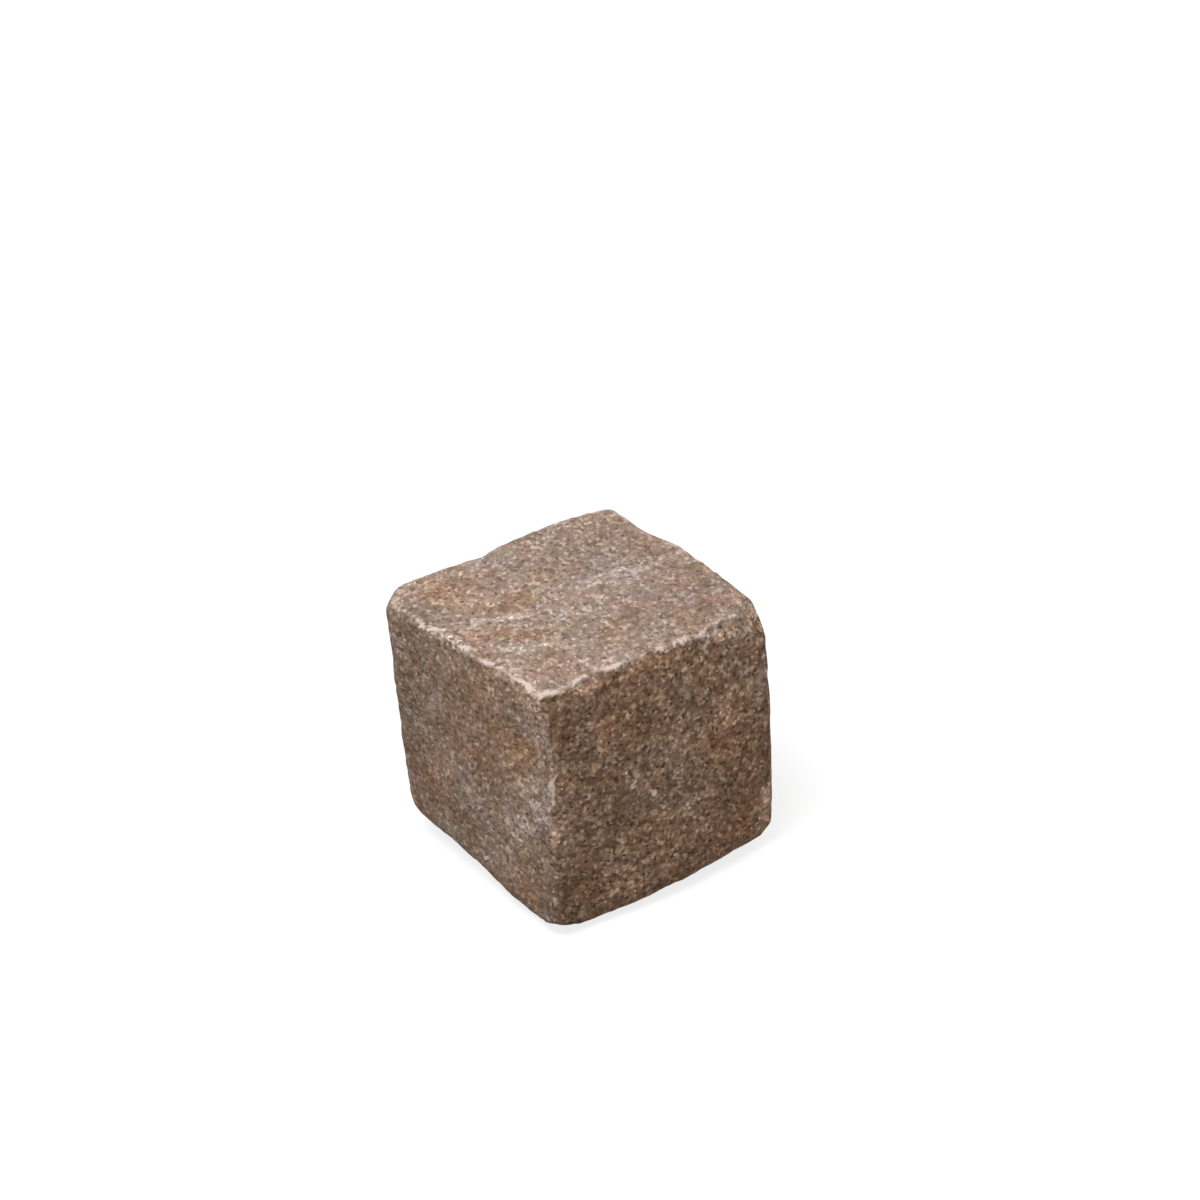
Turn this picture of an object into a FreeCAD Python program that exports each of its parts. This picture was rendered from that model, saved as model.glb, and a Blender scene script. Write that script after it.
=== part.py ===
"""A tumbled granite sett: a paving cube split from larger stone, with its arrises worn round.

The stone is worked in the order of the real one. A block of raw stock is split on its
head and its four joint faces by gently warped cleft surfaces, tumbling rounds the twelve
arrises, and flake scars are left where a corner and two arrises were knocked. The bed, which
the sett stands on, is flat. Frame: +Z up, origin on the bed under the middle of the stone,
front face towards -Y. Millimetres and degrees.
"""
import FreeCAD, Part
import math
import os
from FreeCAD import Vector

# Size of the stone through the middles of its faces
LENGTH = 97.3
WIDTH = 99.5
HEIGHT = 93.0

# How far the middle of each cleft face stands proud of its four corners
HEAD_BULGE = 0.8
FRONT_BULGE = 6.0
REAR_BULGE = 3.0
LEFT_BULGE = 2.0
RIGHT_BULGE = 0.8

# How far each joint face leans outwards towards the head, and the head upwards to the rear
HEAD_LEAN = 0.0
FRONT_LEAN = -3.0
REAR_LEAN = 2.5
LEFT_LEAN = 1.3
RIGHT_LEAN = 2.0

# How far each joint face turns outwards towards its right or rear end, and the head to the right
HEAD_TURN = 0.0
FRONT_TURN = -1.0
REAR_TURN = 1.5
LEFT_TURN = 2.2
RIGHT_TURN = -0.5

# How much further each face turns at its upper or rear edge than through its middle
HEAD_TWIST = 0.0
FRONT_TWIST = 0.5
REAR_TWIST = 0.0
LEFT_TWIST = 1.5
RIGHT_TWIST = 0.0

# Long waves that splitting leaves in every cleft face, and where each face's wave starts
WAVE_HEIGHT = 0.7
WAVE_LENGTH = 68.0
HEAD_WAVE_START = 315.0
FRONT_WAVE_START = 90.0
REAR_WAVE_START = 165.0
LEFT_WAVE_START = 235.0
RIGHT_WAVE_START = 305.0

# Radii that tumbling gives the arrises at each corner; an arris runs evenly from one to the next
HEAD_FRONT_LEFT_ARRIS = 1.5
HEAD_FRONT_RIGHT_ARRIS = 5.0
HEAD_REAR_LEFT_ARRIS = 5.0
HEAD_REAR_RIGHT_ARRIS = 3.0
JOINT_FRONT_LEFT_TOP = 2.0
JOINT_FRONT_RIGHT_TOP = 8.0
JOINT_REAR_LEFT_TOP = 12.0
JOINT_REAR_RIGHT_TOP = 4.0
JOINT_FRONT_LEFT_FOOT = 10.0
JOINT_FRONT_RIGHT_FOOT = 3.0
JOINT_REAR_LEFT_FOOT = 16.0
JOINT_REAR_RIGHT_FOOT = 8.0
BED_FRONT_LEFT_ARRIS = 9.0
BED_FRONT_RIGHT_ARRIS = 11.0
BED_REAR_LEFT_ARRIS = 18.0
BED_REAR_RIGHT_ARRIS = 8.0

# Flake scars: length across the scar, depth at its middle and height of the two arris scars
CORNER_FLAKE_LENGTH = 28.0
CORNER_FLAKE_DEPTH = 2.5
REAR_FLAKE_LENGTH = 50.0
REAR_FLAKE_DEPTH = 3.5
REAR_FLAKE_HEIGHT = 50.0
JOINT_FLAKE_LENGTH = 30.0
JOINT_FLAKE_DEPTH = 2.0
JOINT_FLAKE_HEIGHT = 74.0

# Raw stock left outside each face before splitting, and the grid a cleft surface runs through
STOCK = 12.0
GRID_POINTS = 9

RIGHTWARD = Vector(1, 0, 0)
REARWARD = Vector(0, 1, 0)
UPWARD = Vector(0, 0, 1)
MIDDLE = UPWARD * (HEIGHT / 2)


def raw_block():
    """Stock that is larger than the stone on every side but the bed."""
    corner = Vector(-LENGTH / 2 - STOCK, -WIDTH / 2 - STOCK, 0)
    return Part.makeBox(LENGTH + 2 * STOCK, WIDTH + 2 * STOCK, HEIGHT + STOCK, corner)


def grid_steps(span):
    """Even steps across a face and the stock on both sides of it."""
    reach = span + 2 * STOCK
    return [reach * (step / (GRID_POINTS - 1) - 0.5) for step in range(GRID_POINTS)]


def cleft_waste(outward, depth, across, width, up, height, bulge, lean, turn, twist, wave_start):
    """What splitting takes off one face: all stock outside a warped surface."""
    up_slope = math.tan(math.radians(lean))
    across_slope = math.tan(math.radians(turn))
    slope_gain = math.tan(math.radians(twist)) / (height / 2)
    wave_number = 2 * math.pi / WAVE_LENGTH
    phase = math.radians(wave_start)

    def stand_off(a, u):
        dome = -bulge / 2 * ((2 * a / width) ** 2 + (2 * u / height) ** 2)
        wave = WAVE_HEIGHT * math.sin(wave_number * a + phase) * math.cos(wave_number * u - 2 * phase)
        return depth / 2 + up_slope * u + (across_slope + slope_gain * u) * a + dome + wave

    rows = [
        [MIDDLE + across * a + up * u + outward * stand_off(a, u) for u in grid_steps(height)]
        for a in grid_steps(width)
    ]
    surface = Part.BSplineSurface()
    surface.interpolate(rows)
    return surface.toShape().extrude(outward * (LENGTH + WIDTH + HEIGHT))


def split_stone():
    """The block after its head and its four joint faces are split."""
    along_x = (RIGHTWARD, LENGTH)
    along_y = (REARWARD, WIDTH)
    along_z = (UPWARD, HEIGHT)
    head_shape = (HEAD_BULGE, HEAD_LEAN, HEAD_TURN, HEAD_TWIST, HEAD_WAVE_START)
    front_shape = (FRONT_BULGE, FRONT_LEAN, FRONT_TURN, FRONT_TWIST, FRONT_WAVE_START)
    rear_shape = (REAR_BULGE, REAR_LEAN, REAR_TURN, REAR_TWIST, REAR_WAVE_START)
    left_shape = (LEFT_BULGE, LEFT_LEAN, LEFT_TURN, LEFT_TWIST, LEFT_WAVE_START)
    right_shape = (RIGHT_BULGE, RIGHT_LEAN, RIGHT_TURN, RIGHT_TWIST, RIGHT_WAVE_START)
    stone = raw_block()
    stone = stone.cut(cleft_waste(UPWARD, HEIGHT, *along_x, *along_y, *head_shape))
    stone = stone.cut(cleft_waste(-REARWARD, WIDTH, *along_x, *along_z, *front_shape))
    stone = stone.cut(cleft_waste(REARWARD, WIDTH, *along_x, *along_z, *rear_shape))
    stone = stone.cut(cleft_waste(-RIGHTWARD, LENGTH, *along_y, *along_z, *left_shape))
    return stone.cut(cleft_waste(RIGHTWARD, LENGTH, *along_y, *along_z, *right_shape))


def arris_radii(edge):
    """The radii at the two ends of an arris, by its kind and by the corners that it joins."""
    head_radii = (
        (HEAD_FRONT_LEFT_ARRIS, HEAD_FRONT_RIGHT_ARRIS),
        (HEAD_REAR_LEFT_ARRIS, HEAD_REAR_RIGHT_ARRIS),
    )
    top_radii = (
        (JOINT_FRONT_LEFT_TOP, JOINT_FRONT_RIGHT_TOP),
        (JOINT_REAR_LEFT_TOP, JOINT_REAR_RIGHT_TOP),
    )
    foot_radii = (
        (JOINT_FRONT_LEFT_FOOT, JOINT_FRONT_RIGHT_FOOT),
        (JOINT_REAR_LEFT_FOOT, JOINT_REAR_RIGHT_FOOT),
    )
    bed_radii = (
        (BED_FRONT_LEFT_ARRIS, BED_FRONT_RIGHT_ARRIS),
        (BED_REAR_LEFT_ARRIS, BED_REAR_RIGHT_ARRIS),
    )
    ends = (edge.firstVertex().Point, edge.lastVertex().Point)
    level = [point.z > MIDDLE.z for point in ends]
    if level[0] == level[1]:
        upper, lower = head_radii, bed_radii
    else:
        upper, lower = top_radii, foot_radii
    kinds = [upper if high else lower for high in level]
    return [kind[int(point.y > 0)][int(point.x > 0)] for kind, point in zip(kinds, ends)]


def tumbled(stone):
    """The split stone with its twelve arrises rounded together."""
    document = FreeCAD.newDocument("granite_sett")
    split = document.addObject("Part::Feature", "split")
    split.Shape = stone
    rounded = document.addObject("Part::Fillet", "rounded")
    rounded.Base = split
    rounded.Edges = [(number, *arris_radii(edge)) for number, edge in enumerate(stone.Edges, start=1)]
    document.recompute()
    return rounded.Shape.Solids[0]


def flake(stone, towards, outward, length, depth):
    """The ball that bites a scar of this length and depth, from outward, where towards meets the skin."""
    ray = Part.makeLine(MIDDLE, MIDDLE + towards * 2)
    skin = max((vertex.Point for vertex in stone.common(ray).Vertexes), key=MIDDLE.distanceToPoint)
    radius = (length ** 2 / 4 + depth ** 2) / (2 * depth)
    return Part.makeSphere(radius, skin + Vector(outward).normalize() * (radius - depth))


def knocked(stone):
    """The tumbled stone with its flake scars."""
    head_corner = Vector(LENGTH / 2, -WIDTH / 2, HEIGHT / 2)
    rear_arris = Vector(-LENGTH / 2, WIDTH / 2, REAR_FLAKE_HEIGHT - HEIGHT / 2)
    joint_arris = Vector(-LENGTH / 2, -WIDTH / 2, JOINT_FLAKE_HEIGHT - HEIGHT / 2)
    scars = [
        flake(stone, head_corner, head_corner, CORNER_FLAKE_LENGTH, CORNER_FLAKE_DEPTH),
        flake(stone, rear_arris, rear_arris, REAR_FLAKE_LENGTH, REAR_FLAKE_DEPTH),
        flake(stone, joint_arris, -RIGHTWARD, JOINT_FLAKE_LENGTH, JOINT_FLAKE_DEPTH),
    ]
    return stone.cut(scars).Solids[0]


def centred(stone):
    """The stone moved so that the middle of its extent lies over the origin."""
    box = stone.optimalBoundingBox(False)
    return stone.translated(Vector(-box.Center.x, -box.Center.y, 0))


def main():
    os.makedirs("parts", exist_ok=True)
    sett = centred(knocked(tumbled(split_stone())))
    sett.exportStep("parts/granite_sett.step")
    box = sett.optimalBoundingBox(False)
    print("valid", sett.isValid(), "faces", len(sett.Faces), "volume cm3", round(sett.Volume / 1000, 1))
    print("from", box.XMin, box.YMin, box.ZMin, "to", box.XMax, box.YMax, box.ZMax)


main()
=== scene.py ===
"""A tumbled granite sett standing on its bed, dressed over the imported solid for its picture."""
import collections
import itertools
import math

import bpy
import numpy as np
from mathutils import Matrix, Vector


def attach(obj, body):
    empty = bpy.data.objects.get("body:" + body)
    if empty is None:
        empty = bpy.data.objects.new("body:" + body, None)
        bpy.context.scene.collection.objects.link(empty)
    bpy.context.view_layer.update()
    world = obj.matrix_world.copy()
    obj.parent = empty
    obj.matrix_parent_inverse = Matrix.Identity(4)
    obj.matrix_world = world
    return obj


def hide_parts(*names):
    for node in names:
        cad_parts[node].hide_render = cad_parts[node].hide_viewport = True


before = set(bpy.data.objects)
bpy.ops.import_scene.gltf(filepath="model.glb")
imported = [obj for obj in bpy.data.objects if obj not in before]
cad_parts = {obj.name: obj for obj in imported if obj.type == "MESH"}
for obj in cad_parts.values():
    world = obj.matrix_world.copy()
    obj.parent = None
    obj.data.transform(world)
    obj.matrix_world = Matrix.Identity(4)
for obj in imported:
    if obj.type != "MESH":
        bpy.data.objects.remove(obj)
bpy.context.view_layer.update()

# The stone
# One cube of granite, split with a wedge on its head and its four joint faces, so that each is
# a warped cleft surface. Tumbling rounded its arrises, bruised them pale and knocked off flakes.
MM = 0.001
LENGTH = 97.3
WIDTH = 99.5
HEIGHT = 93.0
HALF = np.array([LENGTH, WIDTH, HEIGHT]) / 2
WAVE_LENGTH = 68.0
X, Y, Z = 0, 1, 2

Cleft = collections.namedtuple("Cleft", "outward side across up bulge lean turn twist wave wave_start")
CLEFTS = {
    "front": Cleft(Y, -1, X, Z, bulge=6.0, lean=-3.0, turn=-1.0, twist=0.5, wave=0.7, wave_start=90.0),
    "rear": Cleft(Y, 1, X, Z, bulge=3.0, lean=2.5, turn=1.5, twist=0.0, wave=0.7, wave_start=165.0),
    "left": Cleft(X, -1, Y, Z, bulge=2.0, lean=1.3, turn=2.2, twist=1.5, wave=0.7, wave_start=235.0),
    "right": Cleft(X, 1, Y, Z, bulge=0.8, lean=2.0, turn=-0.5, twist=0.0, wave=0.7, wave_start=305.0),
    "head": Cleft(Z, 1, X, Y, bulge=0.8, lean=0.0, turn=0.0, twist=0.0, wave=0.7, wave_start=315.0),
    "bed": Cleft(Z, -1, X, Y, bulge=0.0, lean=0.0, turn=0.0, twist=0.0, wave=0.0, wave_start=0.0),
}
NAMES = list(CLEFTS)
LEFT = NAMES.index("left")
HEAD = NAMES.index("head")
BED = NAMES.index("bed")

# Radii that tumbling gave the arrises at each corner: left front and rear, then right front and rear
HEAD_ARRIS = np.array([[0.9, 6.0], [1.8, 2.5]])
JOINT_TOP = np.array([[1.0, 8.5], [10.0, 4.0]])
JOINT_FOOT = np.array([[12.5, 14.0], [3.5, 8.0]])
BED_ARRIS = np.array([[6.0, 20.0], [11.5, 8.0]])
OWN_SPREAD = 0.4
WEAR_SIZE = 13.0
WEAR = 0.3
WEAR_SEED = 41
LATTICE = 64
NEAREST = 20.0
FARTHEST = 110.0
HALVINGS = 26


def mottle(points, size, seed):
    """Random lumps from -1 to 1: heights on a cubic lattice of one size, blended by a fifth-degree S-curve."""
    lattice = np.random.default_rng(seed).uniform(-1, 1, (LATTICE,) * 3)
    place = points / size
    cell = np.floor(place).astype(int)
    part = place - cell
    part = part ** 3 * (part * (part * 6 - 15) + 10)
    total = np.zeros(len(points))
    for corner in itertools.product((0, 1), repeat=3):
        share = np.where(corner, part, 1 - part).prod(axis=1)
        node = (cell + corner) % LATTICE
        total += share * lattice[node[:, X], node[:, Y], node[:, Z]]
    return total


def outside(points, cleft, relief):
    """Distance outside one face: outward reach less half the stone, slope, wave and relief, plus the dome."""
    a = points[:, cleft.across]
    u = points[:, cleft.up]
    turn = math.tan(math.radians(cleft.turn)) + math.tan(math.radians(cleft.twist)) * u / HALF[cleft.up]
    slope = math.tan(math.radians(cleft.lean)) * u + turn * a
    dome = cleft.bulge / 2 * ((a / HALF[cleft.across]) ** 2 + (u / HALF[cleft.up]) ** 2)
    phase = math.radians(cleft.wave_start)
    pitch = 2 * math.pi / WAVE_LENGTH
    wave = cleft.wave * np.sin(pitch * a + phase) * np.cos(pitch * u - 2 * phase)
    return cleft.side * points[:, cleft.outward] - HALF[cleft.outward] - slope - wave - relief + dome


def all_outside(points, reliefs):
    """Distances outside all six faces, one row for each."""
    return np.stack([outside(points, cleft, relief) for cleft, relief in zip(CLEFTS.values(), reliefs)])


def corner_shares(share):
    """The four corners' shares in a point: products of its shares of left or right and of front or rear."""
    ends = np.stack([1 - share, share])
    return ends[:, None, :, X] * ends[None, :, :, Y]


def arris_radii(points):
    """Joint, head and bed arris radii, with uneven wear.

    A joint arris has its own two radii as far as the middle of each face, and a head arris runs from
    corner to corner. Both blend one over the square, so that a sharp end's radius holds until close to
    the worn end. A bed arris's radius runs evenly from corner to corner.
    """
    share = (np.clip(points / HALF, -1, 1) + 1) / 2
    own = np.clip((share - 0.5) / OWN_SPREAD + 0.5, 0, 1)
    joint_top, joint_foot = (np.einsum("ijn,ij->n", corner_shares(own), r) for r in (JOINT_TOP, JOINT_FOOT))
    joint = (joint_foot ** -2 + (joint_top ** -2 - joint_foot ** -2) * share[:, Z]) ** -0.5
    head = np.einsum("ijn,ij->n", corner_shares(share), HEAD_ARRIS ** -2) ** -0.5
    bed = np.einsum("ijn,ij->n", corner_shares(share), BED_ARRIS)
    return np.stack([joint, head, bed]) + WEAR * mottle(points, WEAR_SIZE, WEAR_SEED)


def rounded(distances, radius):
    """Distance outside a rounded meeting: faces moved in by the radius, distances added as a hypotenuse."""
    moved = np.stack(distances) + radius
    return np.sqrt((np.maximum(moved, 0) ** 2).sum(axis=0)) + np.minimum(moved.max(axis=0), 0) - radius


def skin(rays, reliefs, radii):
    """Reach of the skin along rays from the stone's middle, by halving the span from inside to outside."""
    near = np.full(len(rays), NEAREST)
    far = np.full(len(rays), FARTHEST)
    for _ in range(HALVINGS):
        reach = (near + far) / 2
        faces = all_outside(rays * reach[:, None], reliefs)
        joints = rounded(faces[:HEAD], radii[0])
        gap = rounded([rounded([joints, faces[HEAD]], radii[1]), faces[BED]], radii[2])
        near = np.where(gap < 0, reach, near)
        far = np.where(gap < 0, far, reach)
    return near


def bitten(rays, reach, bites, rough=0.0):
    """Reach after round bites: the nearer of the skin and each rough ball, blended over the bite's edge."""
    for centre, ball, edge in bites:
        along = rays @ centre
        within = along ** 2 - centre @ centre + ball ** 2
        ahead = (within > 0) & (along > 0)
        entry = np.where(ahead, along - np.sqrt(np.maximum(within, 0)), FARTHEST) + rough
        reach = np.minimum(reach, entry) - np.maximum(edge - np.abs(reach - entry), 0) ** 2 / (4 * edge)
    return reach


# The skin is six square grids, one for each face, that share their border points. They lie
# closer together towards the arrises, where the form turns quickly.
GRID = 126
CROWDING = 0.65
steps = np.arange(GRID + 1)
grid_points = []
grid_quads = []
for axis, side in itertools.product((X, Y, Z), (0, GRID)):
    first, second = np.meshgrid(steps, steps, indexing="ij")
    point = [None, None, None]
    point[axis], point[(axis + 1) % 3], point[(axis + 2) % 3] = np.full_like(first, side), first, second
    numbers = np.arange(first.size).reshape(first.shape) + len(grid_points) * first.size
    loop = [numbers[:-1, :-1], numbers[1:, :-1], numbers[1:, 1:], numbers[:-1, 1:]]
    grid_points.append(np.stack(point, axis=-1).reshape(-1, 3))
    grid_quads.append(np.stack(loop if side else loop[::-1], axis=-1).reshape(-1, 4))
cube, shared = np.unique(np.concatenate(grid_points), axis=0, return_inverse=True)
quads = shared.reshape(-1)[np.concatenate(grid_quads)]
even = 2 * cube / GRID - 1
box_skin = ((1 - CROWDING) * even + CROWDING * np.sin(math.pi / 2 * even)) * HALF
rays = box_skin / np.linalg.norm(box_skin, axis=1)[:, None]
radii = arris_radii(box_skin)

# Over the bare form, splitting leaves shallow hollows, a hackly grain and plucked pits, and two swells
# beside the arrises of the head; the bed only has hollows.
HOLLOW_SIZES = (19.0, 9.0, 4.6, 2.4)
JOINT_HOLLOWS = (0.15, 0.15, 0.20, 0.20)
HEAD_HOLLOWS = (0.15, 0.12, 0.10, 0.10)
PIT_SIZE = 2.8
PIT_RIM = 0.45
PIT_DEPTH = 0.6
SEEDS_PER_FACE = 100
FLAT = np.zeros((len(CLEFTS), 1))
Swell = collections.namedtuple("Swell", "face centre width height")
SWELLS = (
    Swell("front", np.array([-36.0, -45.0, 42.0]), width=14.0, height=1.5),
    Swell("right", np.array([49.0, 0.0, 44.0]), width=16.0, height=1.0),
)


def all_reliefs(points):
    """Relief of all six faces: mottles of each size and height, less pits, plus bell-shaped swells."""
    rows = []
    for number, name in enumerate(NAMES):
        seed = SEEDS_PER_FACE * number
        relief = -PIT_DEPTH * np.maximum(mottle(points, PIT_SIZE, seed) - PIT_RIM, 0)
        heights = HEAD_HOLLOWS if name == "head" else JOINT_HOLLOWS
        for step, (size, height) in enumerate(zip(HOLLOW_SIZES, heights), start=1):
            relief += height * mottle(points, size, seed + step)
        for swell in SWELLS:
            apart = np.linalg.norm(points - swell.centre, axis=1)
            relief += (swell.face == name) * swell.height * np.exp(-(apart / swell.width) ** 2)
        rows.append(relief if name != "bed" else np.minimum(relief, 0))
    return np.array(rows)


# Flake scars, each with the way to it, the side it was struck from, its length and depth, and how
# far its edge is worn: the large ones of the solid, the notches that show in the outline, then chips
# along every arris but close to the sharp front corner of the head. The notches lie some millimetres
# along an arris from its middle.
LEFT_REAR_HEIGHT = 50.0
LEFT_FRONT_HEIGHT = 70.0
RIGHT_FRONT_HEIGHT = 45.0
CHIPS_PER_ARRIS = 16
CHIP_SPREAD = 0.9
CHIP_LENGTHS = (2.0, 5.0)
CHIP_DEPTHS = (0.1, 0.4)
CHIP_EDGE = 0.2
CHIP_SEED = 7
CORNER_CLEARANCE = 12.0
LEFTWARD = np.array([-1.0, 0.0, 0.0])
Flake = collections.namedtuple("Flake", "way struck length depth edge")
sharp_corner = HALF * (-1, -1, 1)
head_corner = HALF * (1, -1, 1)
left_head_corner = HALF * (-1, 1, 1)
left_arris = HALF * (-1, 0, 1)
rear_arris = HALF * (0, 1, 1)
right_arris = HALF * (1, 0, 1)
left_rear = np.array([-HALF[X], HALF[Y], LEFT_REAR_HEIGHT - HALF[Z]])
left_front = np.array([-HALF[X], -HALF[Y], LEFT_FRONT_HEIGHT - HALF[Z]])
right_front = np.array([HALF[X], -HALF[Y], RIGHT_FRONT_HEIGHT - HALF[Z]])
flakes = [
    Flake(head_corner, head_corner, length=24.0, depth=0.5, edge=2.0),
    Flake(left_rear, left_rear, length=50.0, depth=1.8, edge=1.5),
    Flake(left_front, LEFTWARD, length=32.0, depth=1.7, edge=0.5),
    Flake(left_front - (0, 0, 5.5), LEFTWARD, length=13.0, depth=2.0, edge=0.3),
    Flake(left_arris + (0, 4, 0), LEFTWARD, length=18.0, depth=0.8, edge=1.5),
    Flake(rear_arris - (8, 0, 0), rear_arris, length=9.0, depth=1.2, edge=0.6),
    Flake(left_head_corner, left_head_corner, length=24.0, depth=0.8, edge=2.0),
    Flake(right_arris + (0, 30, 0), right_arris, length=26.0, depth=1.3, edge=1.5),
    Flake(right_arris - (0, 32, 0), right_arris, length=26.0, depth=1.3, edge=1.5),
    Flake(right_front, right_front, length=44.0, depth=0.5, edge=1.5),
]
LARGE_FLAKES = 3
LEFT_SCARS = slice(2, 5)
chance = np.random.default_rng(CHIP_SEED)
for along in (X, Y, Z):
    for sides in itertools.product((-1, 1), repeat=2):
        for _ in range(CHIPS_PER_ARRIS):
            square = np.insert(np.array(sides, float), along, 0.0) * HALF
            way = square + np.eye(3)[along] * HALF * chance.uniform(-CHIP_SPREAD, CHIP_SPREAD)
            chip = Flake(way, square, chance.uniform(*CHIP_LENGTHS), chance.uniform(*CHIP_DEPTHS), CHIP_EDGE)
            if np.linalg.norm(way - sharp_corner) > CORNER_CLEARANCE:
                flakes.append(chip)
ways = np.array([flake.way for flake in flakes])
struck = np.array([flake.struck for flake in flakes])
lengths = np.array([flake.length for flake in flakes])
depths = np.array([flake.depth for flake in flakes])
struck /= np.linalg.norm(struck, axis=1)[:, None]
way_rays = ways / np.linalg.norm(ways, axis=1)[:, None]
way_radii = arris_radii(ways)
scars = way_rays * skin(way_rays, FLAT, way_radii)[:, None]
scar_reliefs = all_reliefs(scars)
scar_reliefs[:, :LARGE_FLAKES] = 0
scars = way_rays * skin(way_rays, scar_reliefs, way_radii)[:, None]
bite_radii = (lengths ** 2 / 4 + depths ** 2) / (2 * depths)
bite_centres = scars + struck * (bite_radii - depths)[:, None]
bites = list(zip(bite_centres, bite_radii, [flake.edge for flake in flakes]))

# The bare form with its large flakes stands where the solid stands, and the dressed skin over it
smooth = rays * bitten(rays, skin(rays, FLAT, radii), bites[:LARGE_FLAKES])[:, None]
middle = (smooth.min(axis=0) + smooth.max(axis=0)) / 2
middle[Z] = -HALF[Z]
reliefs = all_reliefs(smooth)
flaked = bitten(rays, skin(rays, reliefs, radii), bites[:LARGE_FLAKES], reliefs[0])
points = rays * bitten(rays, flaked, bites[LARGE_FLAKES:])[:, None]
placed = points - middle
stone_mesh = bpy.data.meshes.new("granite_sett_stone")
stone_mesh.from_pydata(placed * MM, [], quads)
stone_mesh.shade_smooth()

# Tumbling bruises a sharp arris to a pale ragged rim. It reaches further over the head, and over the
# left and right faces, than down the faces beside them, and is strongest at the sharp front corner.
HEAD_RIM = 3.2
SIDE_RIM = 1.0
JOINT_RIM = 2.4
JOINT_SHARE = 0.7
RAGS = ((2.6, 0.7), (7.0, 0.6))
RIM_STRENGTH = 1.0
CORNER_STRENGTH = 0.45
CORNER_REACH = 14.0
RAG_SEED = 51
faces = all_outside(points, reliefs)
beside_scars = [np.linalg.norm(points - centre, axis=1) - ball for centre, ball, _ in bites[LEFT_SCARS]]
faces[LEFT] = np.maximum(faces[LEFT], -np.min(beside_scars, axis=0))
below_head = -faces[HEAD]
behind_ends = -faces[:LEFT].max(axis=0)
behind_sides = -faces[LEFT:HEAD].max(axis=0)
behind_joints = np.minimum(behind_ends, behind_sides)
head_rim = np.exp(-(behind_joints / HEAD_RIM) ** 2 - (below_head / SIDE_RIM) ** 2)
joint_rim = np.exp(-(behind_ends / JOINT_RIM) ** 2 - (behind_sides / SIDE_RIM) ** 2)
from_corner = np.linalg.norm(points - sharp_corner, axis=1)
bruise = np.maximum(head_rim, JOINT_SHARE * joint_rim)
bruise *= RIM_STRENGTH + CORNER_STRENGTH * np.exp(-(from_corner / CORNER_REACH) ** 2)
for number, (size, strength) in enumerate(RAGS):
    bruise *= 1 + strength * mottle(placed, size, RAG_SEED + number)

# Iron from the ground browns the joint faces more than the worn head, in clouds and in patches
# of ochre, umber, earth, grey and chalky white. The face tones are also painted shade: the joint faces
# turned from the light are painted darker and browner than the head, and patches of painted shade lie
# on the head, the left face and the foot of the front corner. Scuffs are pale speckled streaks and worn
# arrises.
# The rows for faces follow the order of the clefts, and marks are lines in the stone's own frame.
TONE_BLEND = 0.5
# Tone of each face, partly iron browning and partly painted shade, darker and browner on the faces turned from
# the light
FACE_STAIN_AND_SHADE = np.array([
    (0.87, 0.73, 0.585),
    (0.90, 0.79, 0.68),
    (0.95, 0.875, 0.80),
    (0.88, 0.76, 0.64),
    (1.03, 1.02, 1.01),
    (0.92, 0.82, 0.73),
])
FACE_CLOUDS = np.array([2.0, 1.6, 1.25, 1.6, 1.2, 1.6])
FACE_GRAIN = np.array([1.0, 1.0, 0.78, 1.0, 0.75, 1.0])
CLOUDS = ((2.2, 0.11), (4.0, 0.11), (7.5, 0.07), (15.0, 0.04))
CLOUD_SEED = 61
FACE_RUST = np.array([0.9, 1.0, 2.3, 1.0, 1.8, 1.0])
RUST_CLOUDS = ((5.0, 0.4), (11.0, 0.6))
RUST = np.array([0.01, 0.065, 0.155])
RUST_SEED = 71
OLIVE_CLOUDS = ((3.2, 0.9), (6.5, 0.6))
OLIVE = np.array([0.05, 0.01, 0.05])
OLIVE_SEED = 81
GREY = np.array([1.10, 1.19, 1.28])
OCHRE = np.array([1.0, 0.86, 0.74])
UMBER = np.array([0.72, 0.66, 0.60])
CHALK = np.array([1.40, 1.46, 1.54])
# painted shade: darkens the colour where the stone lies in shade
PAINTED_SHADE = np.array([0.89, 0.87, 0.85])
EARTH = np.array([1.10, 1.04, 0.99])
Mark = collections.namedtuple("Mark", "start end width strength")
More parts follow.
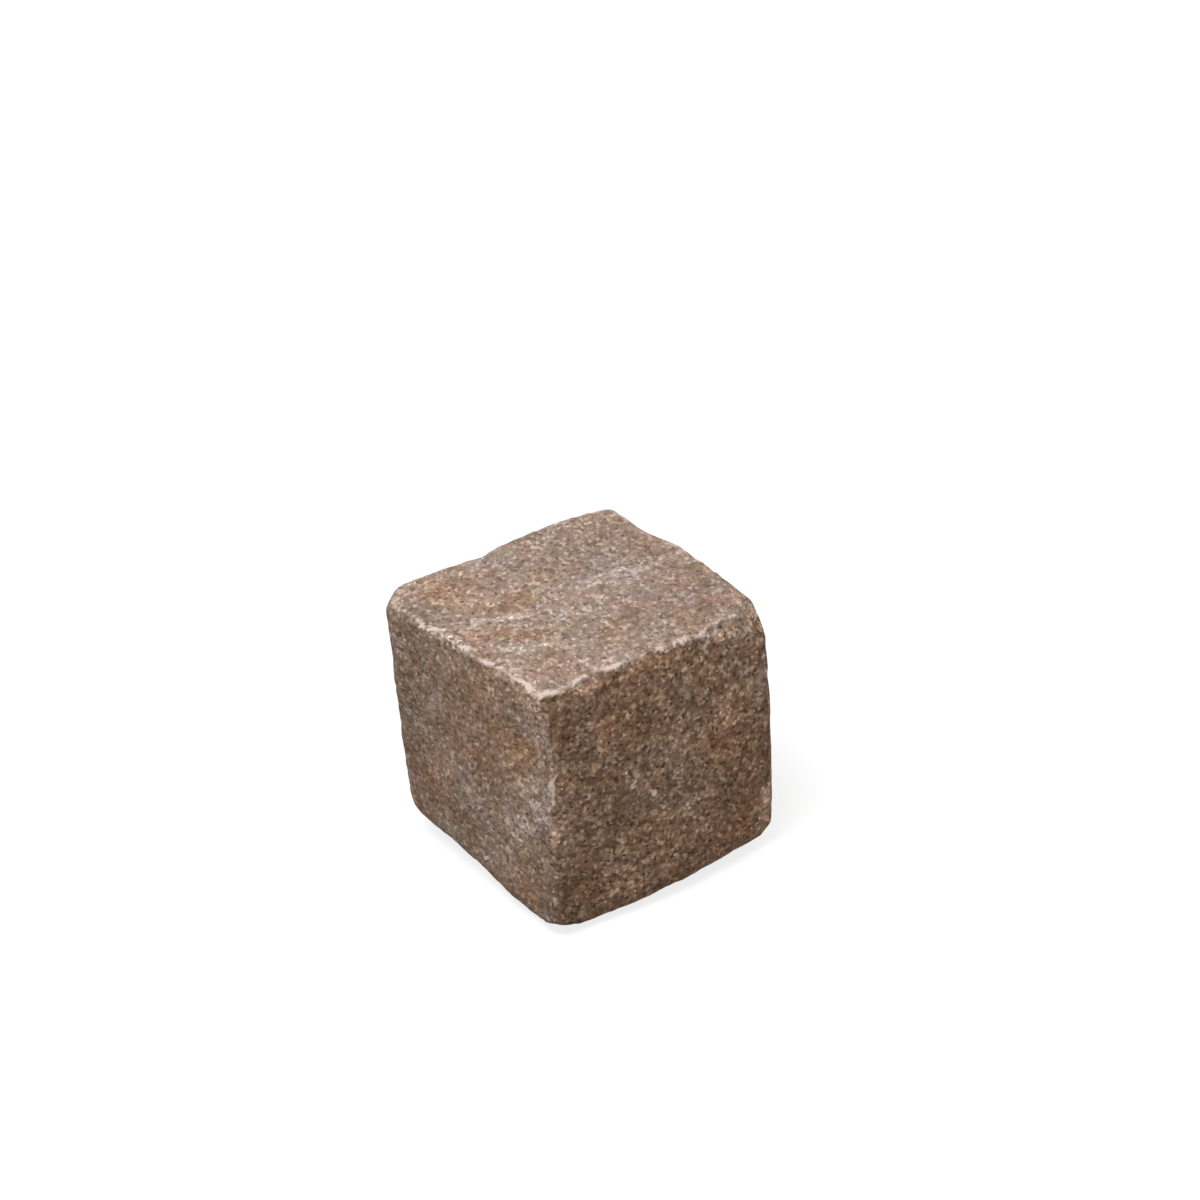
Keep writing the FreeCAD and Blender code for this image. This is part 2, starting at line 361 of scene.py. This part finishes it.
PATCHES = (
    # Head
    (GREY, Mark((18, 35, 93), (12, 44, 93), 8.0, 0.5)),
    (GREY, Mark((12, 8, 93), (28, 7, 93), 7.5, 1.0)),
    (GREY, Mark((-8, 44, 92), (-2, 44, 92), 5.0, 0.7)),
    (GREY, Mark((-12, 0, 93), (-8, -6, 93), 6.0, 0.4)),
    (GREY, Mark((-36, -14, 93), (-22, -20, 93), 3.0, 0.9)),
    (CHALK, Mark((-36, -15, 93), (-29, -18, 93), 1.5, 0.9)),
    (CHALK, Mark((-33, 9, 92), (-20, 2, 93), 1.5, 1.0)),
    (OCHRE, Mark((-40, 3, 93), (-27, -9, 93), 5.5, 0.9)),
    (OCHRE, Mark((-33, 36, 93), (-18, 11, 93), 11.0, 0.55)),
    (OCHRE, Mark((32, -30, 93), (34, -28, 93), 4.0, 0.6)),
    (OCHRE, Mark((-40, -29, 93), (-30, -34, 93), 8.0, 0.5)),
    (UMBER, Mark((-48, 26, 91), (-47, 30, 91), 3.0, 0.6)),
    (CHALK, Mark((-46, 36, 92), (-38, 40, 92), 7.0, 0.2)),
    # painted shade: the head darker towards its right and its rear
    (PAINTED_SHADE, Mark((22, 22, 93), (30, -26, 93), 22.0, 1.05)),
    (PAINTED_SHADE, Mark((-2, 42, 93), (25, 40, 93), 12.0, 0.5)),
    # Left face
    (GREY, Mark((-50, 32, 84), (-49, 33, 46), 8.0, 0.5)),
    # painted shade: the left face darker along its rear edge, where it rounds away from the light
    (PAINTED_SHADE, Mark((-50, 33, 84), (-49, 34, 34), 13.0, 1.5)),
    (CHALK, Mark((-47, -20, 80), (-46, -26, 56), 10.0, 0.28)),
    (UMBER, Mark((-50, 27, 70), (-50, 26, 60), 4.0, 0.4)),
    (OCHRE, Mark((-48, 17, 22), (-48, 22, 32), 6.0, 1.15)),
    (OCHRE, Mark((-49, 10, 76), (-44, -30, 70), 10.0, 0.45)),
    (OCHRE, Mark((-48, -2, 58), (-48, -20, 50), 10.0, 0.35)),
    (OCHRE, Mark((-46, -30, 56), (-46, -34, 56), 4.0, 0.7)),
    (CHALK, Mark((-46, -28, 36), (-46, -40, 46), 4.5, 0.3)),
    (GREY, Mark((-47, -9, 14), (-47, -6, 12), 4.0, 0.8)),
    (GREY, Mark((-47, 7, 14), (-48, 15, 18), 6.5, 1.6)),
    (GREY, Mark((-48, -4, 41), (-48, -4, 37), 5.0, 0.8)),
    (GREY, Mark((-46, -14, 20), (-46, -29, 32), 8.0, 0.9)),
    (UMBER, Mark((-45, -44, 20), (-44, -45, 12), 5.0, 0.9)),
    # painted shade: the foot of the front corner darker next to the floor
    (PAINTED_SHADE, Mark((-41, -46, 11), (-36, -48, 4), 8.0, 0.8)),
    (CHALK, Mark((-44, -39, 84), (-44, -39, 75), 6.0, 1.5)),
    # Front face
    (UMBER, Mark((-38, -45, 81), (-33, -47, 66), 6.0, 0.65)),
    (OCHRE, Mark((-19, -47, 77), (-8, -48, 70), 7.0, 0.6)),
    (GREY, Mark((5, -49, 60), (9, -50, 36), 8.0, 0.7)),
    (CHALK, Mark((-14, -50, 51), (-10, -50, 48), 2.5, 0.35)),
    (GREY, Mark((-27, -46, 79), (-27, -46, 75), 4.0, 0.7)),
    (CHALK, Mark((-29, -44, 89), (-25, -44, 89), 3.0, 0.35)),
    (GREY, Mark((23, -44, 89), (42, -40, 87), 5.0, 1.2)),
    (CHALK, Mark((36, -42, 88), (44, -38, 86), 5.5, 0.8)),
    (GREY, Mark((42, -46, 66), (42, -46, 60), 5.0, 0.8)),
    (CHALK, Mark((28, -48, 59), (27, -48, 64), 3.5, 0.3)),
    (OCHRE, Mark((33, -48, 27), (36, -48, 18), 7.0, 0.6)),
    (OCHRE, Mark((19, -49, 52), (19, -49, 48), 4.0, 0.6)),
    (UMBER, Mark((15, -50, 13), (20, -49, 10), 6.0, 0.5)),
    (EARTH, Mark((-25, -50, 17), (35, -49, 17), 14.0, 1.0)),
    (CHALK, Mark((-20, -50, 13), (15, -50, 10), 8.0, 0.22)),
    (EARTH, Mark((26, -48, 62), (34, -48, 42), 9.0, 0.8)),
    (CHALK, Mark((-25, -50, 38), (-23, -50, 35), 4.0, 0.45)),
    (CHALK, Mark((-41, -48, 43), (-39, -49, 33), 5.0, 0.65)),
    (GREY, Mark((-24, -50, 23), (-11, -51, 15), 4.0, 0.7)),
    (CHALK, Mark((43, -47, 13), (43, -47, 23), 4.0, 2.6)),
)
SCUFFS = (
    Mark((-34, 10, 92), (-19, 1, 93), 1.6, 1.15),
    Mark((-38, -13, 93), (-22, -19, 93), 1.6, 1.0),
    Mark((10, 9, 93), (17, 7, 93), 5.0, 0.75),
    Mark((26, 7, 93), (29, 7, 93), 5.0, 0.75),
    Mark((-46, -27, 34), (-46, -41, 47), 7.5, 0.78),
    Mark((-42, -47, 66), (-44, -46, 58), 2.0, 0.8),
    Mark((-44, -47, 53), (-44, -48, 36), 1.8, 0.6),
    Mark((47, -36, 86), (46, -37, 87), 1.8, 1.0),
    Mark((-47, -9, 14), (-47, -7, 13), 4.0, 0.8),
    Mark((-8, 44, 92), (-2, 44, 92), 3.0, 0.7),
    Mark((19, -44, 91), (32, -43, 90), 2.4, 0.95),
    Mark((43, -47, 14), (43, -47, 23), 2.6, 0.9),
    Mark((46, -42, 78), (46, -43, 28), 2.2, 0.85),
    Mark((-47, 19, 92), (-46, -5, 93), 4.0, 0.95),
    Mark((-30, -43, 93), (15, -44, 92), 2.2, 0.8),
    Mark((-50, 29, 83), (-50, 30, 56), 5.0, 0.55),
    Mark((-45, -30, 93), (-43, -39, 93), 2.5, 0.8),
)


def marked(points, mark):
    """How strongly a mark shows: its strength times a bell curve of the distance from its line."""
    start = np.array(mark.start, float)
    run = np.array(mark.end, float) - start
    along = np.clip((points - start) @ run / (run @ run), 0, 1)
    apart = np.linalg.norm(points - start - along[:, None] * run, axis=1)
    return mark.strength * np.exp(-(apart / mark.width) ** 2)


face_share = np.exp((faces - faces.max(axis=0)) / TONE_BLEND)
face_share /= face_share.sum(axis=0)
tint = face_share.T @ FACE_STAIN_AND_SHADE
cloudy = face_share.T @ FACE_CLOUDS
rusty = face_share.T @ FACE_RUST
for number, (size, strength) in enumerate(CLOUDS):
    tint *= 1 + (strength * cloudy * mottle(placed, size, CLOUD_SEED + number))[:, None]
for number, (size, strength) in enumerate(RUST_CLOUDS):
    tint *= 1 - (strength * rusty * mottle(placed, size, RUST_SEED + number))[:, None] * RUST
for number, (size, strength) in enumerate(OLIVE_CLOUDS):
    tint *= 1 - strength * mottle(placed, size, OLIVE_SEED + number)[:, None] * OLIVE
for stain_and_shade, mark in PATCHES:
    tint *= 1 + marked(placed, mark)[:, None] * (stain_and_shade - 1)
scuff = np.max([marked(placed, mark) for mark in SCUFFS], axis=0)
stone_mesh.attributes.new("bruise", "FLOAT", "POINT").data.foreach_set("value", bruise)
stone_mesh.attributes.new("scuff", "FLOAT", "POINT").data.foreach_set("value", scuff)
stone_mesh.attributes.new("grain", "FLOAT", "POINT").data.foreach_set("value", face_share.T @ FACE_GRAIN)
tint_colours = np.column_stack([tint, np.ones(len(tint))]).ravel()
stone_mesh.attributes.new("tint", "FLOAT_COLOR", "POINT").data.foreach_set("color", tint_colours)

# Fine-grained granite: a ground of tan feldspar and grey quartz, with dots of dark mica and pale
# feldspar, under the stains and painted shade, the scuffs and the bruised rims.
granite = bpy.data.materials.new("split_granite")
granite.use_nodes = True
tree = granite.node_tree
tree.nodes.clear()


def add(kind, inputs=None, **settings):
    """One node of the current tree with its settings, and each input linked to a socket or set to a value."""
    made = tree.nodes.new(kind)
    for name, value in settings.items():
        setattr(made, name, value)
    for name, value in (inputs or {}).items():
        if isinstance(value, bpy.types.NodeSocket):
            tree.links.new(value, made.inputs[name])
        else:
            made.inputs[name].default_value = value
    return made


def ramp(value, stops, interpolation="LINEAR"):
    """A colour for each value, from stops of place and colour."""
    made = add("ShaderNodeValToRGB", {"Fac": value})
    elements = made.color_ramp.elements
    made.color_ramp.interpolation = interpolation
    while len(elements) < len(stops):
        elements.new(0.5)
    for element, (place, colour) in zip(elements, stops):
        element.position = place
        element.color = (*colour, 1.0)
    return made.outputs["Color"]


def blend(share, under, over, **settings):
    """One colour laid over another by a share."""
    mixed = add("ShaderNodeMix", {"Factor": share, "A": under, "B": over}, data_type="RGBA", **settings)
    return mixed.outputs["Result"]


def times(first, second):
    """The product of two values."""
    return add("ShaderNodeMath", {0: first, 1: second}, operation="MULTIPLY").outputs["Value"]


def rise(value, low, high):
    """A smooth rise from 0 to 1 as the value goes from low to high; a fall if low is the larger."""
    fitted = add("ShaderNodeMapRange", {"Value": value, "From Min": low, "From Max": high})
    fitted.interpolation_type = "SMOOTHSTEP"
    return fitted.outputs["Result"]


# The grains lie stretched along the rift, the way in which the stone splits best, and their borders
# are bent by a fine noise.
RIFT = (-0.487, -0.721, 0.492)
RIFT_STRETCH = 1.45
BEND = 0.0009
BEND_SIZE = 0.0015
BEND_DETAIL = 1.0
here = add("ShaderNodeTexCoord").outputs["Object"]
along_rift = {
    "Vector": here,
    "Rotation": tuple(Vector(RIFT).to_track_quat("Z", "Y").to_euler()),
    "Scale": (1.0, 1.0, RIFT_STRETCH),
}
place = add("ShaderNodeMapping", along_rift, vector_type="TEXTURE").outputs["Vector"]
bend_noise = {"Vector": place, "Scale": 1 / BEND_SIZE, "Detail": BEND_DETAIL}
bends = add("ShaderNodeTexNoise", bend_noise).outputs["Color"]
bending = {0: bends, 1: (BEND,) * 3, 2: place}
bent = add("ShaderNodeVectorMath", bending, operation="MULTIPLY_ADD").outputs["Vector"]
bent_here = add("ShaderNodeVectorMath", {**bending, 2: here}, operation="MULTIPLY_ADD").outputs["Vector"]

# The ground of coarse grains, with finer specks between them
GRAIN = 0.0013
GRAIN_BLUR = 0.4
GRAIN_TONES = (
    (0.08, (0.09, 0.056, 0.04)),
    (0.22, (0.21, 0.135, 0.095)),
    (0.47, (0.33, 0.232, 0.178)),
    (0.72, (0.43, 0.315, 0.255)),
    (0.86, (0.66, 0.53, 0.45)),
    (0.95, (0.86, 0.76, 0.68)),
)
SPECK = 0.0010
SPECK_BLUR = 0.3
SPECK_SHARE = 0.45
SPECK_TONES = (
    (0.00, (0.17, 0.11, 0.08)),
    (0.30, (0.29, 0.20, 0.15)),
    (0.70, (0.40, 0.29, 0.235)),
    (1.00, (0.60, 0.48, 0.41)),
)
soft_grain = {"Vector": bent, "Scale": 1 / GRAIN, "Smoothness": GRAIN_BLUR}
grains = add("ShaderNodeTexVoronoi", soft_grain, feature="SMOOTH_F1")
grain_pick = add("ShaderNodeSeparateColor", {"Color": grains.outputs["Color"]})
grain_colour = ramp(grain_pick.outputs["Red"], GRAIN_TONES)
soft_speck = {"Vector": bent, "Scale": 1 / SPECK, "Smoothness": SPECK_BLUR}
specks = add("ShaderNodeTexVoronoi", soft_speck, feature="SMOOTH_F1")
speck_pick = add("ShaderNodeSeparateColor", {"Color": specks.outputs["Color"]})
speck_colour = ramp(speck_pick.outputs["Green"], SPECK_TONES)
ground = blend(SPECK_SHARE, grain_colour, speck_colour)

# Dots of mica and feldspar in some of the cells of a third pattern, with ragged borders
DOT = 0.0019
DOT_RAGS = 1.0
DOT_FACTORS = {"To Min": 0.85, "To Max": 1.8}
DOT_BORDER = (0.92, 0.74)
DOT_TONES = ((0.0, (0.10, 0.062, 0.045)), (0.5, (0.74, 0.62, 0.53)))
DOT_COVER = ((0.0, (0.9,) * 3), (0.36, (0.0,) * 3), (0.70, (0.8,) * 3))
BREAK_UP = 0.0014
BREAK_DETAIL = 3.0
break_noise = {"Vector": place, "Scale": 1 / BREAK_UP, "Detail": BREAK_DETAIL}
breaks = add("ShaderNodeTexNoise", break_noise).outputs["Fac"]
dots = add("ShaderNodeTexVoronoi", {"Vector": bent, "Scale": 1 / DOT})
dot_picks = add("ShaderNodeSeparateColor", {"Color": dots.outputs["Color"]}).outputs
dot_colour = ramp(dot_picks["Red"], DOT_TONES, "CONSTANT")
dot_chosen = ramp(dot_picks["Red"], DOT_COVER, "CONSTANT")
dot_factor = add("ShaderNodeMapRange", {"Value": dot_picks["Green"], **DOT_FACTORS}).outputs["Result"]
dot_reach = times(dots.outputs["Distance"], dot_factor)
ragging = {0: breaks, 1: DOT_RAGS, 2: dot_reach}
ragged = add("ShaderNodeMath", ragging, operation="MULTIPLY_ADD").outputs["Value"]
dotted = blend(times(rise(ragged, *DOT_BORDER), dot_chosen), ground, dot_colour)

# Stains and painted shade soften the grain and colour it, pale grains less than dark ones
EVEN_STONE = (0.352, 0.252, 0.197, 1.0)
PALE_GRAINS = (0.30, 0.60)
CLEAN_PALE = 0.25
clear = add("ShaderNodeAttribute", attribute_name="grain").outputs["Fac"]
granular = blend(clear, EVEN_STONE, dotted)
# The tint holds both the stains and the painted shade of the faces and the patches
stain_and_shade = add("ShaderNodeAttribute", attribute_name="tint").outputs["Color"]
lightness = add("ShaderNodeRGBToBW", {"Color": granular}).outputs["Val"]
tint_grey = add("ShaderNodeRGBToBW", {"Color": stain_and_shade}).outputs["Val"]
cleaned = blend(times(rise(lightness, *PALE_GRAINS), CLEAN_PALE), stain_and_shade, tint_grey)
stained_and_shaded = blend(1.0, granular, cleaned, blend_type="MULTIPLY")

# Scuffs show as pale flecks, in clumps. A few bright crystals stand in the front face, painted
# white: partly their pale colour, partly a painted glint. Each is listed with its middle and its radius in
# millimetres.
CLUMP = 0.0026
CLUMP_DETAIL = 3.0
CLUMP_RANGE = {"From Min": 0.35, "From Max": 0.65}
SCUFF_RANGE = (0.62, 1.25)
FLECK_TONES = (
    (0.25, (0.48, 0.38, 0.33)),
    (0.65, (0.80, 0.67, 0.59)),
    (0.90, (1.00, 0.83, 0.73)),
)
GLINTING_CRYSTALS = (
    ((-13.4, -49.4, 50.0), 1.2),
    ((-12.1, -49.4, 51.0), 0.9),
    ((-4.8, -49.4, 43.9), 1.3),
    ((13.3, -49.7, 34.5), 0.8),
    ((-15.4, -49.1, 55.7), 0.8),
)
CRYSTAL_GLINT_WHITE = (0.86, 0.74, 0.67, 1.0)
clump_noise = {"Vector": place, "Scale": 1 / CLUMP, "Detail": CLUMP_DETAIL}
clumps = add("ShaderNodeTexNoise", clump_noise).outputs["Fac"]
clumped = add("ShaderNodeMapRange", {"Value": clumps, **CLUMP_RANGE}).outputs["Result"]
uneven = add("ShaderNodeMath", {0: speck_pick.outputs["Red"], 1: clumped}, operation="ADD").outputs["Value"]
scuffing = add("ShaderNodeAttribute", attribute_name="scuff").outputs["Fac"]
fleck_colour = ramp(speck_pick.outputs["Blue"], FLECK_TONES)
scuffed = blend(rise(times(scuffing, uneven), *SCUFF_RANGE), stained_and_shaded, fleck_colour)
# painted glint: each crystal turns white in a small disc
for crystal, size in GLINTING_CRYSTALS:
    apart = add("ShaderNodeVectorMath", {0: bent_here, 1: np.array(crystal) * MM}, operation="DISTANCE")
    scuffed = blend(rise(apart.outputs["Value"], size * MM, size * MM / 2), scuffed, CRYSTAL_GLINT_WHITE)

# The bruised rims lie over all of it. The surface is matt and finely rough.
BRUISE_RANGE = (0.30, 1.40)
BRUISE_COVER = 0.95
BRUISE_PALE = (0.77, 0.62, 0.54, 1.0)
BUMP_STRENGTH = 0.8
BUMP_HEIGHT = 0.0008
ROUGHNESS = 0.9
SHINE = 0.25
bruising = add("ShaderNodeAttribute", attribute_name="bruise").outputs["Fac"]
bruise_share = times(rise(times(bruising, uneven), *BRUISE_RANGE), BRUISE_COVER)
bruised = blend(bruise_share, scuffed, BRUISE_PALE)
bump = add("ShaderNodeBump", {"Height": breaks, "Strength": BUMP_STRENGTH, "Distance": BUMP_HEIGHT})
surface = add("ShaderNodeBsdfPrincipled", {
    "Base Color": bruised,
    "Roughness": ROUGHNESS,
    "Specular IOR Level": SHINE,
    "Normal": bump.outputs["Normal"],
})
add("ShaderNodeOutputMaterial", {"Surface": surface.outputs["BSDF"]})

sett = bpy.data.objects.new("granite_sett_stone", stone_mesh)
bpy.context.scene.collection.objects.link(sett)
stone_mesh.materials.append(granite)
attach(sett, "root")
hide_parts("granite_sett")

# The floor
# A plain pale studio floor that runs on as the backdrop. It is white to the camera, apart
# from the stone's soft shadow, and grey to the stone, so that it throws little light back.
FLOOR_SIZE = 12.0
FLOOR_GLOW = 0.80
FLOOR_GREY = (0.25, 0.25, 0.25, 1.0)


def seen_rays():
    """1 for rays that show the scene, straight, mirrored or through glass, and 0 for those that light it."""
    path = add("ShaderNodeLightPath").outputs
    mirrored = add("ShaderNodeMath", {0: path["Is Camera Ray"], 1: path["Is Glossy Ray"]}, operation="ADD")
    through = {0: mirrored.outputs["Value"], 1: path["Is Transmission Ray"]}
    return add("ShaderNodeMath", through, operation="ADD", use_clamp=True).outputs["Value"]


floor_mesh = bpy.data.meshes.new("floor")
floor_corners = np.array([(-1, -1, 0), (1, -1, 0), (1, 1, 0), (-1, 1, 0)]) * FLOOR_SIZE / 2
floor_mesh.from_pydata(floor_corners, [], [(0, 1, 2, 3)])
floor_paint = bpy.data.materials.new("pale_floor")
floor_paint.use_nodes = True
tree = floor_paint.node_tree
tree.nodes.clear()
glow = add("ShaderNodeEmission", {"Strength": FLOOR_GLOW})
grey = add("ShaderNodeBsdfDiffuse", {"Color": FLOOR_GREY})
lit = add("ShaderNodeAddShader", {0: glow.outputs["Emission"], 1: grey.outputs["BSDF"]})
shown = {"Fac": seen_rays(), 1: grey.outputs["BSDF"], 2: lit.outputs["Shader"]}
floor_look = add("ShaderNodeMixShader", shown)
add("ShaderNodeOutputMaterial", {"Surface": floor_look.outputs["Shader"]})
floor_mesh.materials.append(floor_paint)
floor = bpy.data.objects.new("floor", floor_mesh)
bpy.context.scene.collection.objects.link(floor)

# The light
# One broad key light high on the left, a weak fill from behind on the right, and an even pale sky.
SKY = 0.35
SEEN_SKY = 1.0
WHITE = (1.0, 1.0, 1.0, 1.0)
KEY_STRENGTH = 0.72
KEY_FROM = (-0.275, -0.115, 0.65)
KEY_SPREAD = 24.0
FILL_STRENGTH = 0.16
FILL_FROM = (0.6, 0.6, 0.4)
FILL_SPREAD = 60.0


def lamp(name, strength, comes_from, spread):
    """A distant lamp: strength 1 shows a white face that looks at it as white."""
    data = bpy.data.lights.new(name, "SUN")
    data.energy = strength * math.pi
    data.angle = math.radians(spread)
    made = bpy.data.objects.new(name, data)
    made.rotation_euler = Vector(comes_from).to_track_quat("Z", "Y").to_euler()
    bpy.context.scene.collection.objects.link(made)


lamp("key_light", KEY_STRENGTH, KEY_FROM, KEY_SPREAD)
lamp("fill_light", FILL_STRENGTH, FILL_FROM, FILL_SPREAD)
world = bpy.data.worlds.new("pale_sky")
world.use_nodes = True
tree = world.node_tree
tree.nodes.clear()
strength = add("ShaderNodeMapRange", {"Value": seen_rays(), "To Min": SKY, "To Max": SEEN_SKY})
sky = add("ShaderNodeBackground", {"Color": WHITE, "Strength": strength.outputs["Result"]})
add("ShaderNodeOutputWorld", {"Surface": sky.outputs["Background"]})
bpy.context.scene.world = world

# The camera
# A long lens looking down past the stone's front corner, at the photograph's angle and framing.
LENS_MM = 120.0
SENSOR_MM = 36.0
VIEW_AZIMUTH = -34.0
VIEW_ELEVATION = 29.5
VIEW_ROLL = -2.5
VIEW_DISTANCE = 1.4315
VIEW_AIM = Vector((0.05296, 0.06354, 0.046))
azimuth, elevation, roll = (math.radians(angle) for angle in (VIEW_AZIMUTH, VIEW_ELEVATION, VIEW_ROLL))
back = Vector((
    math.sin(azimuth) * math.cos(elevation),
    -math.cos(azimuth) * math.cos(elevation),
    math.sin(elevation),
))
level_right = Vector((math.cos(azimuth), math.sin(azimuth), 0))
level_up = back.cross(level_right)
right = level_right * math.cos(roll) + level_up * math.sin(roll)
up = level_up * math.cos(roll) - level_right * math.sin(roll)
turned = Matrix((right, up, back)).transposed().to_4x4()
camera_data = bpy.data.cameras.new("camera")
camera_data.lens = LENS_MM
camera_data.sensor_width = SENSOR_MM
camera = bpy.data.objects.new("camera", camera_data)
camera.matrix_world = Matrix.Translation(VIEW_AIM + back * VIEW_DISTANCE) @ turned
bpy.context.scene.collection.objects.link(camera)
bpy.context.scene.camera = camera
bpy.context.scene.view_settings.view_transform = "Standard"
